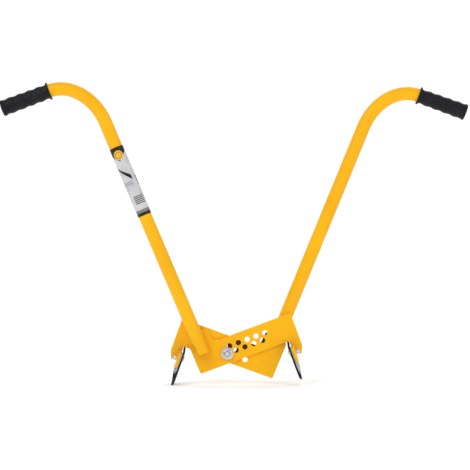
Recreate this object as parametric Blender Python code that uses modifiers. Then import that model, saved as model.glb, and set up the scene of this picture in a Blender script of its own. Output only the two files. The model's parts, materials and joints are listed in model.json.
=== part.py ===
"""Scissor tongs for lifting kerb stones and slabs.

Two arms of flat bar cross at one bolt.  Each arm carries a bent tube with a grip at one end and a
rubber-padded jaw at the other, so bringing the handles together closes the jaws.  The row of holes
that the bolt sits in sets how wide a stone the tongs take.

Each arm is drawn in its own frame: s runs along the bar from the heel to the jaw, n runs up from
the bar's lower edge, and y is the depth.  The rear arm is the front arm's drawing, mirrored.
"""
import math
from collections import namedtuple

import bmesh
import bpy
from mathutils import Matrix, Vector

MM = 0.001
GAP = 0.3 * MM                      # clearance between neighbouring pieces

# Flat bar of each arm
PLATE_THICKNESS = 5.0 * MM
BAR_HEIGHT = 51.5 * MM
BAR_LENGTH = 209.8 * MM
HEEL_WIDTH = 47.0 * MM
HEEL_HEIGHT = 83.0 * MM
FINGER_DROP = 31.0 * MM
FINGER_INNER = 192.9 * MM
FINGER_ROOT = 188.3 * MM             # the finger is wider above the jaw plate, behind the pad's top
FINGER_STEP = 12.3 * MM

# Adjusting holes: two staggered rows
HOLE_DIAMETER = 10.6 * MM
HOLE_PITCH = 18.75 * MM
HOLES_PER_ROW = 5
FIRST_HOLE = 64.0 * MM
FRONT_LOWER_ROW = 19.8 * MM         # the two plates are drilled at slightly different heights
REAR_LOWER_ROW = 17.0 * MM
ROW_SPACING = 12.5 * MM
FRONT_PIVOT_HOLE = 0                # which lower hole of the front arm the bolt sits in
REAR_PIVOT_HOLE = 2

# Handle tubes and grips
TUBE_DIAMETER = 26.9 * MM
TUBE_WALL = 2.3 * MM
TUBE_FOOT_S = 20.0 * MM
TUBE_FOOT_N = 40.0 * MM
TUBE_LEAN = math.radians(2.55)
TUBE_DEPTH = PLATE_THICKNESS + 1.5 * GAP + TUBE_DIAMETER / 2
BEND_RISE = 105.0 * MM              # the bend is a quarter of an ellipse, slower than a circle
GRIP_START = -84.0 * MM
GRIP_HEIGHT = 632.0 * MM
TUBE_IN_GRIP = 88.0 * MM
GRIP_LENGTH = 101.0 * MM
GRIP_RADIUS = 15.2 * MM
GRIP_FLARE = 1.2 * MM
GRIP_WAVE = 0.55 * MM
GRIP_WAVE_LENGTH = 20.0 * MM
GRIP_FLANGE_RADIUS = 17.8 * MM
GRIP_FLANGE_THICKNESS = 3.6 * MM
GRIP_BORE_DEPTH = 92.0 * MM

# Sticker on the left tube, as heights in the arm's frame
LABEL_FROM = 335.0 * MM
LABEL_TO = 480.5 * MM
LABEL_THICKNESS = 0.35 * MM

# Jaws
PAD_FACE = 181.0 * MM
PAD_THICKNESS = 3.4 * MM
PAD_WIDTH = 56.0 * MM
PAD_TOP = -0.7 * MM
PAD_BOTTOM = -78.4 * MM
PAD_BEND = 12.0 * MM                # height of the top edge that leans away from the stone
PAD_BEND_OUT = 3.0 * MM
BACKING_THICKNESS = 1.0 * MM
LIP_DEPTH = 7.4 * MM
JAW_PLATE_THICKNESS = 6.5 * MM
JAW_PLATE_TOP = -13.0 * MM
JAW_PLATE_BOTTOM = -43.5 * MM
JAW_PLATE_WIDTH = 52.0 * MM

# Pad screws (M6) and pivot bolt (M10)
SCREW_DIAMETER = 6.0 * MM
SCREW_HEIGHT_N = -24.0 * MM
SCREW_SPREAD = 16.5 * MM
SCREW_HEAD_RADIUS = 5.6 * MM
SCREW_HEAD_HEIGHT = 3.2 * MM
SCREW_POCKET_DEPTH = 0.6 * MM       # how far the head presses into the rubber
SCREW_NUT_ACROSS = 10.0 * MM
SCREW_NUT_HEIGHT = 5.0 * MM
SCREW_WASHER_RADIUS = 6.2 * MM
SCREW_WASHER_THICKNESS = 1.2 * MM
SCREW_END = 2.0 * MM
BOLT_DIAMETER = 10.0 * MM
BOLT_ACROSS = 17.0 * MM
BOLT_HEAD_HEIGHT = 6.4 * MM
BOLT_NUT_HEIGHT = 8.0 * MM
NUT_COLLAR_RADIUS = 7.4 * MM
NUT_COLLAR_HEIGHT = 3.2 * MM
NUT_RING_RADIUS = 6.4 * MM
NUT_RING_HEIGHT = 2.4 * MM
BOLT_WASHER_RADIUS = 12.2 * MM
BOLT_WASHER_THICKNESS = 2.0 * MM
BOLT_END = 2.2 * MM

# Stance: how far each bar is tilted from level
FRONT_TILT = math.radians(20.45)
REAR_TILT = math.radians(19.8)

ROUND_STEPS = 24                    # facets round a tube or a grip
SMALL_STEPS = 16                    # facets round a fastener
ARC_STEPS = 4                       # points on a rounded corner
BEND_STEPS = 9
GRIP_WAVE_STEPS = 12

Arm = namedtuple("Arm", "side layer pivot_s pivot_n empty handle jaw")


# ---------------------------------------------------------------- scene and materials
def clear_scene():
    for obj in list(bpy.data.objects):
        bpy.data.objects.remove(obj, do_unlink=True)


def new_collection(name):
    collection = bpy.data.collections.new(name)
    bpy.context.scene.collection.children.link(collection)
    return collection


def new_material(name, colour, roughness, metallic):
    material = bpy.data.materials.new(name)
    material.use_nodes = True
    shader = material.node_tree.nodes["Principled BSDF"]
    shader.inputs["Base Color"].default_value = (*colour, 1.0)
    shader.inputs["Roughness"].default_value = roughness
    shader.inputs["Metallic"].default_value = metallic
    return material


FINISHES = {
    "paint": ((0.91, 0.44, 0.01), 0.38, 0.0),
    "zinc": ((0.58, 0.59, 0.61), 0.35, 1.0),
    "bare_steel": ((0.33, 0.33, 0.31), 0.45, 1.0),
    "rubber": ((0.010, 0.010, 0.010), 0.70, 0.0),
    "grip_plastic": ((0.012, 0.012, 0.015), 0.45, 0.0),
    "nylon": ((0.55, 0.55, 0.50), 0.50, 0.0),
    "sticker": ((0.75, 0.76, 0.76), 0.30, 0.0),
}


def add_part(obj, finish, collection, parent, smooth=True):
    """Give a finished piece its own material, its collection and its parent."""
    colour, roughness, metallic = FINISHES[finish]
    obj.data.materials.append(new_material(obj.name + "_" + finish, colour, roughness, metallic))
    obj.parent = parent
    collection.objects.link(obj)
    if smooth:
        obj.data.shade_smooth()
        obj.data.set_sharp_from_angle(angle=math.radians(35))
    return obj


def add_cutter(obj, collection, parent):
    obj.hide_render = True
    obj.display_type = 'WIRE'
    obj.parent = parent
    collection.objects.link(obj)
    return obj


def cut_with(obj, cutter, operation='DIFFERENCE'):
    modifier = obj.modifiers.new("cut_" + cutter.name, 'BOOLEAN')
    modifier.operation = operation
    modifier.object = cutter
    return obj


# ---------------------------------------------------------------- shapes
def rounded(corners):
    """Points of an outline whose corners are (x, z, radius), each turned into an arc."""
    points = []
    count = len(corners)
    for index, (x, z, radius) in enumerate(corners):
        here = Vector((x, z))
        before = Vector(corners[index - 1][:2]) - here
        after = Vector(corners[(index + 1) % count][:2]) - here
        if radius == 0:
            points.append(here)
            continue
        half = before.angle(after) / 2
        reach = radius / math.tan(half)
        start = here + before.normalized() * reach
        end = here + after.normalized() * reach
        centre = here + (before.normalized() + after.normalized()).normalized() * (radius / math.sin(half))
        first = start - centre
        sweep = first.angle_signed(end - centre)
        for step in range(ARC_STEPS + 1):
            points.append(centre + Matrix.Rotation(-sweep * step / ARC_STEPS, 2) @ first)
    return points


def circle(x, z, radius, steps=SMALL_STEPS):
    turns = [2 * math.pi * step / steps for step in range(steps)]
    return [Vector((x + radius * math.cos(turn), z + radius * math.sin(turn))) for turn in turns]


def mesh_of_curve(curve_object, name):
    """The curve's evaluated mesh as a new object, caps welded and faces turned outwards."""
    bpy.context.scene.collection.objects.link(curve_object)
    graph = bpy.context.evaluated_depsgraph_get()
    mesh = bpy.data.meshes.new_from_object(curve_object.evaluated_get(graph))
    mesh.transform(curve_object.matrix_world)
    bpy.data.objects.remove(curve_object, do_unlink=True)
    mesh.name = name
    body = bmesh.new()
    body.from_mesh(mesh)
    bmesh.ops.remove_doubles(body, verts=body.verts, dist=0.00001)
    bmesh.ops.recalc_face_normals(body, faces=body.faces)
    body.to_mesh(mesh)
    body.free()
    mesh.materials.clear()
    return bpy.data.objects.new(name, mesh)


def add_poly_spline(curve, points, closed):
    spline = curve.splines.new('POLY')
    spline.points.add(len(points) - 1)
    for target, point in zip(spline.points, points):
        target.co = (*point, 0.0, 1.0) if len(point) == 2 else (*point, 1.0)
    spline.use_cyclic_u = closed
    return spline


def flat_piece(name, loops, y_from, y_to):
    """A flat outline in the x-z plane, with its inner loops as holes, from y_from to y_to."""
    curve = bpy.data.curves.new(name, 'CURVE')
    curve.dimensions = '2D'
    curve.fill_mode = 'BOTH'
    curve.extrude = (y_to - y_from) / 2
    for loop in loops:
        add_poly_spline(curve, loop, closed=True)
    holder = bpy.data.objects.new(name, curve)
    holder.matrix_world = (Matrix.Translation((0, (y_from + y_to) / 2, 0))
                           @ Matrix.Rotation(math.pi / 2, 4, 'X'))
    return mesh_of_curve(holder, name)


def pipe(name, path, radius, wall):
    """A hollow tube of outer radius `radius` along `path`, open at both ends."""
    curve = bpy.data.curves.new(name, 'CURVE')
    curve.dimensions = '3D'
    curve.bevel_depth = radius
    curve.bevel_resolution = (ROUND_STEPS - 4) // 2
    curve.use_fill_caps = False
    add_poly_spline(curve, path, closed=False)
    obj = mesh_of_curve(bpy.data.objects.new(name, curve), name)
    shell = obj.modifiers.new("wall", 'SOLIDIFY')
    shell.thickness = wall
    shell.offset = -1.0
    shell.use_even_offset = True
    return obj


def turned(name, profile, steps):
    """Turn a profile of (radius, height) pairs, listed down its outer side, round the Z axis."""
    mesh = bpy.data.meshes.new(name)
    edges = [(index, index + 1) for index in range(len(profile) - 1)]
    mesh.from_pydata([(radius, 0.0, height) for radius, height in profile], edges, [])
    obj = bpy.data.objects.new(name, mesh)
    screw = obj.modifiers.new("turn", 'SCREW')
    screw.steps = steps
    screw.render_steps = steps
    screw.use_merge_vertices = True
    screw.merge_threshold = 0.00001
    screw.use_smooth_shade = True
    return obj


def ring(name, outer, inner, height, steps=SMALL_STEPS):
    """A washer that stands on z = 0, its outer rim eased a little."""
    ease = min(height, outer - inner) * 0.15
    profile = [(inner, height), (outer - ease, height), (outer, height - ease),
               (outer, ease), (outer - ease, 0.0), (inner, 0.0), (inner, height)]
    return turned(name, profile, steps)


def cylinder_between(name, start, end, radius):
    """A closed cylinder from start to end."""
    start, end = Vector(start), Vector(end)
    body = bmesh.new()
    bmesh.ops.create_cone(body, cap_ends=True, segments=SMALL_STEPS, radius1=radius, radius2=radius,
                          depth=(end - start).length)
    turn = (end - start).to_track_quat('Z', 'Y').to_matrix().to_4x4()
    body.transform(Matrix.Translation((start + end) / 2) @ turn)
    mesh = bpy.data.meshes.new(name)
    body.to_mesh(mesh)
    body.free()
    return bpy.data.objects.new(name, mesh)


def block(name, low, high):
    """A box between two opposite corners."""
    low, high = Vector(low), Vector(high)
    body = bmesh.new()
    bmesh.ops.create_cube(body, size=1.0)
    size = Vector([abs(value) for value in high - low])
    body.transform(Matrix.Translation((low + high) / 2) @ Matrix.Diagonal((*size, 1.0)))
    mesh = bpy.data.meshes.new(name)
    body.to_mesh(mesh)
    body.free()
    return bpy.data.objects.new(name, mesh)


def hexagon(name, across, height):
    """A hexagon prism on z = 0."""
    corner = across / math.sqrt(3)
    body = bmesh.new()
    bmesh.ops.create_cone(body, cap_ends=True, segments=6, radius1=corner, radius2=corner, depth=height)
    bmesh.ops.translate(body, verts=body.verts, vec=(0, 0, height / 2))
    mesh = bpy.data.meshes.new(name)
    body.to_mesh(mesh)
    body.free()
    return bpy.data.objects.new(name, mesh)


def chamfer_lens(name, across, height):
    """The turned solid whose cone-shaped ends take the corners off a hexagon."""
    flat = across / 2 * 0.96
    wide = across / math.sqrt(3) * 1.02
    rise = (wide - flat) * math.tan(math.radians(30))
    over = 0.01 * MM
    profile = [(0.0, height + over), (flat, height + over), (wide, height + over - rise),
               (wide, rise - over), (flat, -over), (0.0, -over)]
    return turned(name, profile, SMALL_STEPS)


# ---------------------------------------------------------------- pieces of an arm
def local(arm, s, y, n):
    """A point of the arm's drawing in its pivot frame."""
    return Vector((arm.side * (s - arm.pivot_s), y, n - arm.pivot_n))


def local_outline(arm, corners):
    return rounded([(*local(arm, s, 0, n).xz, radius) for s, n, radius in corners])


def hole_centres(arm):
    lower = [(FIRST_HOLE + HOLE_PITCH * k, arm.pivot_n) for k in range(HOLES_PER_ROW)]
    upper = [(FIRST_HOLE + HOLE_PITCH * (k + 0.5), arm.pivot_n + ROW_SPACING) for k in range(HOLES_PER_ROW)]
    return lower + upper


def make_arm_plate(arm, name):
    lean = HEEL_HEIGHT * math.tan(TUBE_LEAN)
    corners = [
        (0.0, 0.0, 3 * MM),
        (FINGER_ROOT, 0.0, 0.5 * MM),
        (FINGER_ROOT, -FINGER_STEP, 0.5 * MM),
        (FINGER_INNER, -FINGER_STEP, 0.5 * MM),
        (FINGER_INNER, -FINGER_DROP + 4 * MM, 2 * MM),
        (FINGER_INNER + 3 * MM, -FINGER_DROP, 1 * MM),
        (BAR_LENGTH - 6 * MM, -FINGER_DROP, 3 * MM),
        (BAR_LENGTH, -FINGER_DROP / 2, 12 * MM),
        (BAR_LENGTH, BAR_HEIGHT, 1.5 * MM),
        (HEEL_WIDTH, BAR_HEIGHT, 9 * MM),
        (HEEL_WIDTH - lean, HEEL_HEIGHT, 4 * MM),
        (-lean, HEEL_HEIGHT, 14 * MM),
    ]
    loops = [local_outline(arm, corners)]
    loops += [circle(*local(arm, s, 0, n).xz, HOLE_DIAMETER / 2) for s, n in hole_centres(arm)]
    near = arm.layer * GAP / 2
    far = arm.layer * (GAP / 2 + PLATE_THICKNESS)
    return flat_piece(name, loops, min(near, far), max(near, far))


def axis_at(n):
    """s of the tube's axis at height n on its straight run."""
    return TUBE_FOOT_S - (n - TUBE_FOOT_N) * math.tan(TUBE_LEAN)


def tube_path():
    """Straight run, bend and level end of the handle, as points of the arm's drawing."""
    bend_n = GRIP_HEIGHT - BEND_RISE
    bend_reach = axis_at(bend_n) - GRIP_START
    points = [(TUBE_FOOT_S, TUBE_FOOT_N)]
    for step in range(BEND_STEPS + 1):
        turn = math.pi / 2 * step / BEND_STEPS
        points.append((GRIP_START + bend_reach * math.cos(turn), bend_n + BEND_RISE * math.sin(turn)))
    return points


def make_tube(arm, name):
    points = tube_path() + [(GRIP_START - TUBE_IN_GRIP, GRIP_HEIGHT)]
    path = [local(arm, s, arm.layer * TUBE_DEPTH, n) for s, n in points]
    return pipe(name, path, TUBE_DIAMETER / 2, TUBE_WALL)


def point_on_tube(arm, n):
    """A point on the straight run's axis at height n."""
    return local(arm, axis_at(n), arm.layer * TUBE_DEPTH, n)


def make_label(arm):
    path = [point_on_tube(arm, LABEL_FROM), point_on_tube(arm, LABEL_TO)]
    outer = TUBE_DIAMETER / 2 + GAP + LABEL_THICKNESS
    return pipe("tube_label", path, outer, LABEL_THICKNESS)


def make_tube_plug(arm, name):
    """A domed disc under the tube's foot, with a spigot that sits inside the tube."""
    radius = TUBE_DIAMETER / 2
    spigot = radius - TUBE_WALL - GAP
    dome = [(radius * math.cos(turn), -GAP - 1 * MM - 4 * MM * math.sin(turn))
            for turn in [math.pi / 2 * step / ARC_STEPS for step in range(ARC_STEPS)]]
    profile = [(0.0, 7 * MM), (spigot - 1 * MM, 7 * MM), (spigot, 6 * MM), (spigot, -GAP),
               (radius, -GAP), *dome, (0.0, -GAP - 5 * MM)]
    obj = turned(name, profile, ROUND_STEPS)
    obj.location = point_on_tube(arm, TUBE_FOOT_N)
    obj.rotation_euler = (0.0, -arm.side * TUBE_LEAN, 0.0)
    return obj


def make_grip(arm, name):
    """A moulded sleeve: flange at the mouth, a gently waved body, a closed flat end."""
    bore = TUBE_DIAMETER / 2 + GAP
    rim = 2.2 * MM
    end_radius = GRIP_RADIUS + GRIP_FLARE
    profile = [(0.0, GRIP_LENGTH), (end_radius - rim, GRIP_LENGTH)]
    for step in range(1, 4):
        turn = math.pi / 2 * step / 3
        profile.append((end_radius - rim + rim * math.sin(turn), GRIP_LENGTH - rim + rim * math.cos(turn)))
    top, bottom = GRIP_LENGTH - 2 * rim, GRIP_FLANGE_THICKNESS + 1.5 * MM
    for step in range(GRIP_WAVE_STEPS + 1):
        height = top + (bottom - top) * step / GRIP_WAVE_STEPS
        share = height / GRIP_LENGTH
        wave = GRIP_WAVE * math.cos(2 * math.pi * height / GRIP_WAVE_LENGTH)
        profile.append((GRIP_RADIUS + GRIP_FLARE * share + wave - GRIP_WAVE, height))
    profile += [(GRIP_FLANGE_RADIUS - 0.8 * MM, GRIP_FLANGE_THICKNESS),
                (GRIP_FLANGE_RADIUS, GRIP_FLANGE_THICKNESS - 0.8 * MM),
                (GRIP_FLANGE_RADIUS, 0.8 * MM), (GRIP_FLANGE_RADIUS - 0.8 * MM, 0.0),
                (bore, 0.0), (bore, GRIP_BORE_DEPTH), (0.0, GRIP_BORE_DEPTH)]
    obj = turned(name, profile, ROUND_STEPS)
    obj.location = local(arm, GRIP_START, arm.layer * TUBE_DEPTH, GRIP_HEIGHT)
    obj.rotation_euler = (0.0, -arm.side * math.pi / 2, 0.0)
    return obj


# ---------------------------------------------------------------- pieces of a jaw
BACKING_S = PAD_FACE + PAD_THICKNESS + GAP
JAW_PLATE_S = BACKING_S + BACKING_THICKNESS + GAP
JAW_PLATE_OUTER = JAW_PLATE_S + JAW_PLATE_THICKNESS


def make_pad(arm, name):
    lean = PAD_BEND_OUT
    outer = PAD_FACE + PAD_THICKNESS
    corners = [
        (PAD_FACE, PAD_BOTTOM + 5 * MM, 4 * MM),
        (PAD_FACE, PAD_TOP - PAD_BEND, 10 * MM),
        (PAD_FACE + lean, PAD_TOP, 1 * MM),
        (outer + lean, PAD_TOP, 1 * MM),
        (outer, PAD_TOP - PAD_BEND, 10 * MM),
        (outer, PAD_BOTTOM, 0),
        (outer - 1.2 * MM, PAD_BOTTOM, 0.5 * MM),
    ]
    return flat_piece(name, [local_outline(arm, corners)], -PAD_WIDTH / 2, PAD_WIDTH / 2)


def make_backing(arm, name, cutters):
    """A thin sheet with a lip along each side below the jaw plate, running out to nothing."""
    outer = BACKING_S + BACKING_THICKNESS
    sheet = block(name, local(arm, BACKING_S, -PAD_WIDTH / 2, PAD_TOP - PAD_BEND - 1 * MM),
                  local(arm, outer, PAD_WIDTH / 2, PAD_BOTTOM + 0.5 * MM))
    lip = [(outer - 0.5 * MM, JAW_PLATE_BOTTOM - 2 * GAP, 0), (outer - 0.5 * MM, PAD_BOTTOM + 1 * MM, 0),
           (outer + 0.4 * MM, PAD_BOTTOM + 1 * MM, 0.2 * MM),
           (outer + LIP_DEPTH, JAW_PLATE_BOTTOM - 6 * MM, 3 * MM),
           (outer + LIP_DEPTH - 1 * MM, JAW_PLATE_BOTTOM - 2 * GAP, 0)]
    for tag, edge in (("front", -1), ("rear", 1)):
        near, far = edge * (PAD_WIDTH / 2 - BACKING_THICKNESS), edge * (PAD_WIDTH / 2 - 0.05 * MM)
        piece = flat_piece(name + "_lip_" + tag, [local_outline(arm, lip)], min(near, far), max(near, far))
        cut_with(sheet, add_cutter(piece, cutters, arm.empty), 'UNION')
    return sheet


def make_jaw_plate(arm, name):
    obj = block(name, local(arm, JAW_PLATE_S, -JAW_PLATE_WIDTH / 2, JAW_PLATE_BOTTOM),
                local(arm, JAW_PLATE_OUTER, JAW_PLATE_WIDTH / 2, JAW_PLATE_TOP))
    ease = obj.modifiers.new("edges", 'BEVEL')
    ease.width = 0.8 * MM
    ease.segments = 1
    return obj


def along_s(arm, obj, s, y):
    """Stand a piece made on the Z axis along the screw's line, pointing to the jaw's outside."""
    obj.location = local(arm, s, y, SCREW_HEIGHT_N)
    obj.rotation_euler = (0.0, arm.side * math.pi / 2, 0.0)
    return obj


def make_screw(arm, name, y):
    """Low domed head against the pad, shank through pad, backing and jaw plate."""
    seat = PAD_FACE + SCREW_POCKET_DEPTH - GAP
    nut_end = JAW_PLATE_OUTER + 2 * GAP + SCREW_WASHER_THICKNESS + SCREW_NUT_HEIGHT
    shank_end = nut_end + SCREW_END - seat
    radius = SCREW_DIAMETER / 2
    dome = [(SCREW_HEAD_RADIUS * math.cos(turn), -0.6 * MM - (SCREW_HEAD_HEIGHT - 0.6 * MM) * math.sin(turn))
            for turn in [math.pi / 2 * step / ARC_STEPS for step in range(ARC_STEPS)]]
    profile = [(0.0, shank_end), (radius - 0.7 * MM, shank_end), (radius, shank_end - 0.7 * MM),
               (radius, 0.0), (SCREW_HEAD_RADIUS, 0.0), *dome, (0.0, -SCREW_HEAD_HEIGHT)]
    return along_s(arm, turned(name, profile, SMALL_STEPS), seat, y)


def make_jaw(arm, parts, cutters):
    """All the pieces of one jaw."""
    jaw = arm.jaw
    bores, pockets = [], []
    for tag, y in (("front", -SCREW_SPREAD), ("rear", SCREW_SPREAD)):
        start = local(arm, PAD_FACE - 20 * MM, y, SCREW_HEIGHT_N)
        end = local(arm, JAW_PLATE_OUTER + 20 * MM, y, SCREW_HEIGHT_N)
        bore = cylinder_between(jaw + "_screw_bore_" + tag, start, end, SCREW_DIAMETER / 2 + GAP)
        bores.append(add_cutter(bore, cutters, arm.empty))
        floor = local(arm, PAD_FACE + SCREW_POCKET_DEPTH, y, SCREW_HEIGHT_N)
        pocket = cylinder_between(jaw + "_screw_pocket_" + tag, start, floor, SCREW_HEAD_RADIUS + GAP)
        pockets.append(add_cutter(pocket, cutters, arm.empty))
    pieces = (
        (make_pad(arm, jaw + "_jaw_pad"), "rubber"),
        (make_backing(arm, jaw + "_jaw_backing", cutters), "bare_steel"),
        (make_jaw_plate(arm, jaw + "_jaw_plate"), "paint"),
    )
    for obj, finish in pieces:
        for bore in bores + (pockets if finish == "rubber" else []):
            cut_with(obj, bore)
        add_part(obj, finish, parts, arm.empty, smooth=False)
    for tag, y in (("front", -SCREW_SPREAD), ("rear", SCREW_SPREAD)):
        add_part(make_screw(arm, jaw + "_pad_bolt_" + tag, y), "zinc", parts, arm.empty)
        washer = ring(jaw + "_pad_washer_" + tag, SCREW_WASHER_RADIUS, SCREW_DIAMETER / 2 + GAP,
                      SCREW_WASHER_THICKNESS)
        washer_s = JAW_PLATE_OUTER + GAP
        add_part(along_s(arm, washer, washer_s, y), "zinc", parts, arm.empty)
        nut_s = washer_s + SCREW_WASHER_THICKNESS + GAP
        nut = make_nut(jaw + "_pad_nut_" + tag, SCREW_NUT_ACROSS, SCREW_NUT_HEIGHT, SCREW_DIAMETER / 2 + GAP,
                       cutters, arm.empty, lambda obj: along_s(arm, obj, nut_s, y))
        add_part(nut, "zinc", parts, arm.empty)


def make_nut(name, across, height, bore_radius, cutters, parent, place):
    """A chamfered hexagon nut; `place` puts the nut and its cutters in the same spot."""
    nut = place(hexagon(name, across, height))
    lens = place(chamfer_lens(name + "_chamfer", across, height))
    cut_with(nut, add_cutter(lens, cutters, parent), 'INTERSECT')
    bore = place(cylinder_between(name + "_bore", (0, 0, -height), (0, 0, 2 * height), bore_radius))
    return cut_with(nut, add_cutter(bore, cutters, parent))


# ---------------------------------------------------------------- pivot
def along_y(obj, y, forward):
    """Stand a piece made on the Z axis along the pivot, pointing to the front or to the back."""
    obj.location = (0.0, y, 0.0)
    obj.rotation_euler = (math.pi / 2 if forward else -math.pi / 2, 0.0, 0.0)
    return obj


def make_pivot(parts, cutters, empty):
    face = GAP / 2 + PLATE_THICKNESS
    for tag, sign in (("front", -1), ("rear", 1)):
        washer = ring("pivot_washer_" + tag, BOLT_WASHER_RADIUS, BOLT_DIAMETER / 2 + GAP,
                      BOLT_WASHER_THICKNESS, ROUND_STEPS)
        add_part(along_y(washer, sign * (face + GAP), sign < 0), "zinc", parts, empty)
    seat = face + 2 * GAP + BOLT_WASHER_THICKNESS
    make_pivot_bolt(parts, cutters, empty, seat)
    make_pivot_nut(parts, cutters, empty, seat)


def make_pivot_bolt(parts, cutters, empty, seat):
    """Hexagon head at the back, shank through both arms to the front."""
    bolt = along_y(hexagon("pivot_bolt", BOLT_ACROSS, BOLT_HEAD_HEIGHT), seat, False)
    lens = along_y(chamfer_lens("pivot_bolt_chamfer", BOLT_ACROSS, BOLT_HEAD_HEIGHT), seat, False)
    cut_with(bolt, add_cutter(lens, cutters, empty), 'INTERSECT')
    radius = BOLT_DIAMETER / 2
    length = 2 * seat + GAP + BOLT_NUT_HEIGHT + NUT_COLLAR_HEIGHT + BOLT_END
    profile = [(0.0, length), (radius - 1 * MM, length), (radius, length - 1 * MM),
               (radius, -2 * MM), (0.0, -2 * MM)]
    shank = along_y(turned("pivot_bolt_shank", profile, SMALL_STEPS), seat, True)
    cut_with(bolt, add_cutter(shank, cutters, empty), 'UNION')
    add_part(bolt, "zinc", parts, empty)


def make_pivot_nut(parts, cutters, empty, seat):
    """Locking nut: a hexagon, a round collar on it, and a nylon ring held in the collar."""
    place_at = -(seat + GAP)
    nut = along_y(hexagon("pivot_nut", BOLT_ACROSS, BOLT_NUT_HEIGHT), place_at, True)
    lens = along_y(chamfer_lens("pivot_nut_chamfer", BOLT_ACROSS, BOLT_NUT_HEIGHT), place_at, True)
    cut_with(nut, add_cutter(lens, cutters, empty), 'INTERSECT')
    top = BOLT_NUT_HEIGHT + NUT_COLLAR_HEIGHT
    collar_profile = [(0.0, top), (NUT_COLLAR_RADIUS - 1.2 * MM, top), (NUT_COLLAR_RADIUS, top - 1.4 * MM),
                      (NUT_COLLAR_RADIUS, BOLT_NUT_HEIGHT - 1 * MM), (0.0, BOLT_NUT_HEIGHT - 1 * MM)]
    collar = along_y(turned("pivot_nut_collar", collar_profile, SMALL_STEPS), place_at, True)
    cut_with(nut, add_cutter(collar, cutters, empty), 'UNION')
    bore_radius = BOLT_DIAMETER / 2 + GAP
    bore = cylinder_between("pivot_nut_bore", (0, 0, -1 * MM), (0, 0, 2 * top), bore_radius)
    cut_with(nut, add_cutter(along_y(bore, place_at, True), cutters, empty))
    seat_floor = top - NUT_RING_HEIGHT - 2 * GAP
    pocket = cylinder_between("pivot_nut_pocket", (0, 0, seat_floor), (0, 0, 2 * top),
                              NUT_RING_RADIUS - GAP)
    cut_with(nut, add_cutter(along_y(pocket, place_at, True), cutters, empty))
    add_part(nut, "zinc", parts, empty)
    lock = ring("pivot_nut_ring", NUT_RING_RADIUS - 2 * GAP, bore_radius, NUT_RING_HEIGHT)
    add_part(along_y(lock, place_at - seat_floor - GAP, True), "nylon", parts, empty)


# ---------------------------------------------------------------- assembly
def make_arm(arm, parts, cutters):
    plate = "front_arm_plate" if arm.layer < 0 else "rear_arm_plate"
    add_part(make_arm_plate(arm, plate), "paint", parts, arm.empty, smooth=False)
    add_part(make_tube(arm, arm.handle + "_handle_tube"), "paint", parts, arm.empty)
    add_part(make_tube_plug(arm, arm.handle + "_tube_plug"), "paint", parts, arm.empty)
    add_part(make_grip(arm, arm.handle + "_grip"), "grip_plastic", parts, arm.empty)
    make_jaw(arm, parts, cutters)


def new_empty(name, parent, tilt=0.0):
    empty = bpy.data.objects.new(name, None)
    empty.rotation_euler = (0.0, tilt, 0.0)
    empty.parent = parent
    bpy.context.scene.collection.objects.link(empty)
    return empty


def world_bounds(objects):
    """Lowest and highest corners of the evaluated meshes."""
    bpy.context.view_layer.update()
    graph = bpy.context.evaluated_depsgraph_get()
    low, high = Vector((math.inf,) * 3), Vector((-math.inf,) * 3)
    for obj in objects:
        evaluated = obj.evaluated_get(graph)
        mesh = evaluated.to_mesh()
        for vertex in mesh.vertices:
            point = evaluated.matrix_world @ vertex.co
            low = Vector(map(min, low, point))
            high = Vector(map(max, high, point))
        evaluated.to_mesh_clear()
    return low, high


def main():
    clear_scene()
    parts = new_collection("kerb_tongs")
    cutters = new_collection("cutters")
    root = new_empty("kerb_tongs_frame", None)
    pivot_hole = [FIRST_HOLE + HOLE_PITCH * k for k in (FRONT_PIVOT_HOLE, REAR_PIVOT_HOLE)]
    front = Arm(1, -1, pivot_hole[0], FRONT_LOWER_ROW, new_empty("front_arm_frame", root, -FRONT_TILT),
                "left", "right")
    rear = Arm(-1, 1, pivot_hole[1], REAR_LOWER_ROW, new_empty("rear_arm_frame", root, REAR_TILT),
               "right", "left")
    make_arm(front, parts, cutters)
    add_part(make_label(front), "sticker", parts, front.empty)
    make_arm(rear, parts, cutters)
    make_pivot(parts, cutters, front.empty)
    low, high = world_bounds(parts.objects)
    root.location = (-(low.x + high.x) / 2, -(low.y + high.y) / 2, -low.z)
    bpy.context.view_layer.update()
    print("pivot at", tuple(round(value, 5) for value in root.matrix_world.translation))


main()
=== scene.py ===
# %% [markdown]
# # Lifting tongs for kerb stones
#
# Two painted steel arms cross at one bolt.  Each arm has a bent tube with a vinyl grip at one end
# and a rubber-faced jaw at the other.  This lesson rebuilds every visible piece as a surface worked
# out with numpy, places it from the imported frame, and gives it a finish made of shader nodes.

# %% Load the frame
import json
import math

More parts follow.
